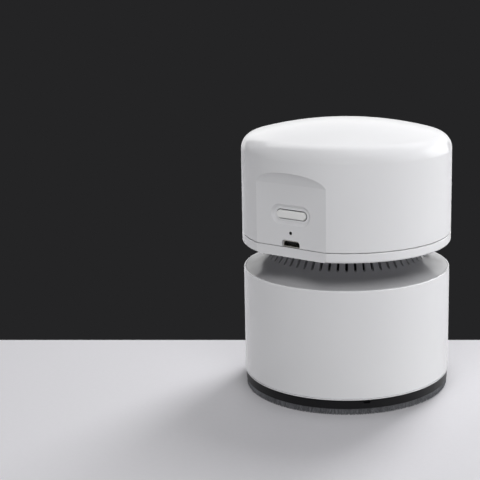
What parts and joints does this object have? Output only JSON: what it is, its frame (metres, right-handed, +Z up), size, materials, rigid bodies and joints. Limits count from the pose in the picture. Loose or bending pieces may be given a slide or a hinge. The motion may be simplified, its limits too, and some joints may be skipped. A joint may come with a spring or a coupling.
{
  "type": "desktop vacuum cleaner",
  "caption": "Small battery desk vacuum: drum-shaped dust cup on a bristle ring, slotted neck, domed head with a flat panel, pill button and charging port.",
  "frame": {"origin": "on the floor, at the centre of the round body", "axes": "+Z up along the body's axis; the flat panel with the button faces -Y; +X completes the frame"},
  "size_m": [0.08, 0.08, 0.1026],
  "materials": {
    "white_abs": "satin",
    "black_abs": "satin",
    "dark_abs": "matte",
    "button_abs": "gloss",
    "bristle": "matte",
    "grey_silicone": "matte",
    "green_board": "satin",
    "steel_sheet": "satin",
    "chip_epoxy": "matte",
    "led_lens": "gloss",
    "smoked_acrylic": "gloss",
    "cell_sleeve": "satin",
    "nickel": "satin",
    "red_pvc": "satin",
    "black_pvc": "satin",
    "zinc_steel": "satin",
    "white_nylon": "matte",
    "brass_tabs": "satin",
    "ferrite": "matte",
    "bronze": "satin",
    "steel_screw": "satin",
    "copper_winding": "satin",
    "copper_bars": "satin",
    "filter_cloth": "matte"
  },
  "bodies": {
    "dust_cup": {"dust_cup": "white_abs", "cup_floor": "white_abs", "intake_funnel": "white_abs"},
    "base": {"base_ring": "black_abs", "bristle_skirt": "bristle", "intake_brush": "bristle"},
    "head": {"neck_grille": "white_abs", "cup_seal": "grey_silicone", "fan_shroud": "dark_abs", "head_base": "white_abs", "head_cover": "white_abs", "main_board": "green_board", "usb_socket": "steel_sheet", "usb_tongue": "black_abs", "charge_chips": "chip_epoxy", "switch_board": "green_board", "tact_switch": "black_abs", "status_led": "led_lens", "light_pipe": "smoked_acrylic", "link_header": "black_abs", "battery_cell": "cell_sleeve", "battery_saddles": "dark_abs", "cell_tabs": "nickel", "battery_leads": "red_pvc", "motor_leads": "black_pvc", "motor_can": "zinc_steel", "motor_end_cap": "white_nylon", "motor_terminals": "brass_tabs", "motor_magnets": "ferrite", "motor_bushes": "bronze", "motor_screws": "steel_screw", "stack_screws": "steel_screw", "cover_screws": "steel_screw", "board_screws": "steel_screw"},
    "filter": {"filter_frame": "dark_abs", "filter_mesh": "filter_cloth", "filter_seal": "grey_silicone"},
    "rotor": {"motor_shaft": "steel_screw", "armature": "copper_winding", "commutator": "copper_bars", "impeller": "dark_abs"},
    "button": {"power_button": "button_abs"},
    "plunger": {"switch_plunger": "white_nylon"}
  },
  "joints": [
    {"name": "base_twist", "type": "hinge", "parent": "dust_cup", "child": "base", "pos_m": [0, 0, 0], "axis": [0, 0, 1], "range_deg": [0, 25]},
    {"name": "head_lift", "type": "slide", "parent": "dust_cup", "child": "head", "axis": [0, 0, 1], "range_m": [0, 0.045]},
    {"name": "filter_twist", "type": "hinge", "parent": "head", "child": "filter", "pos_m": [0, 0, 0.0434], "axis": [0, 0, 1], "range_deg": [0, 25]},
    {"name": "motor_spin", "type": "hinge", "parent": "head", "child": "rotor", "pos_m": [0, 0, 0.0584], "axis": [0, 0, 1], "continuous": true},
    {"name": "button_press", "type": "slide", "parent": "head", "child": "button", "axis": [0, 1, 0], "range_m": [0, 0.0006], "stiffness_N_per_m": 1500},
    {"name": "plunger_press", "type": "slide", "parent": "head", "child": "plunger", "axis": [0, 1, 0], "range_m": [0, 0.0006]}
  ],
  "couplings": [
    {"joint": "plunger_press", "follows": "button_press", "ratio": 1}
  ]
}
